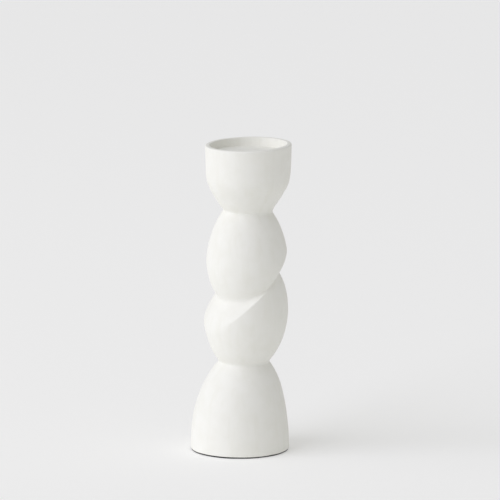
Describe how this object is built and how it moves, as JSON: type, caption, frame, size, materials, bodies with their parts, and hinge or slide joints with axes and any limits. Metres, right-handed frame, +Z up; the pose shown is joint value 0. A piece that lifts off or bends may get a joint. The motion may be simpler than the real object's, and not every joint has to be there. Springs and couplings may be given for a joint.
{
  "type": "pillar candle holder",
  "caption": "Tall sculptural wooden candlestick: a shallow cup for a wide pillar candle on two interlocking egg forms and a bell-shaped foot, painted matte white.",
  "frame": {"origin": "middle of the felt pad's underside, where the holder stands", "axes": "+Z up, towards the candle; -Y faces the front, where the lower form shows its ledge; the stack drifts a little towards +X as it rises"},
  "size_m": [0.1041, 0.1016, 0.32],
  "materials": {
    "painted_wood": "matte warm white paint over carved wood, faint upright grain and small dimples",
    "dowel_wood": "bare beech dowel, lightly sanded",
    "felt": "thin black wool felt"
  },
  "bodies": {
    "root": {"felt_pad": "felt", "bell_base": "painted_wood", "lower_bulb": "painted_wood", "upper_bulb": "painted_wood", "candle_cup": "painted_wood", "base_dowel": "dowel_wood", "middle_dowel": "dowel_wood", "cup_dowel": "dowel_wood"}
  },
  "joints": []
}
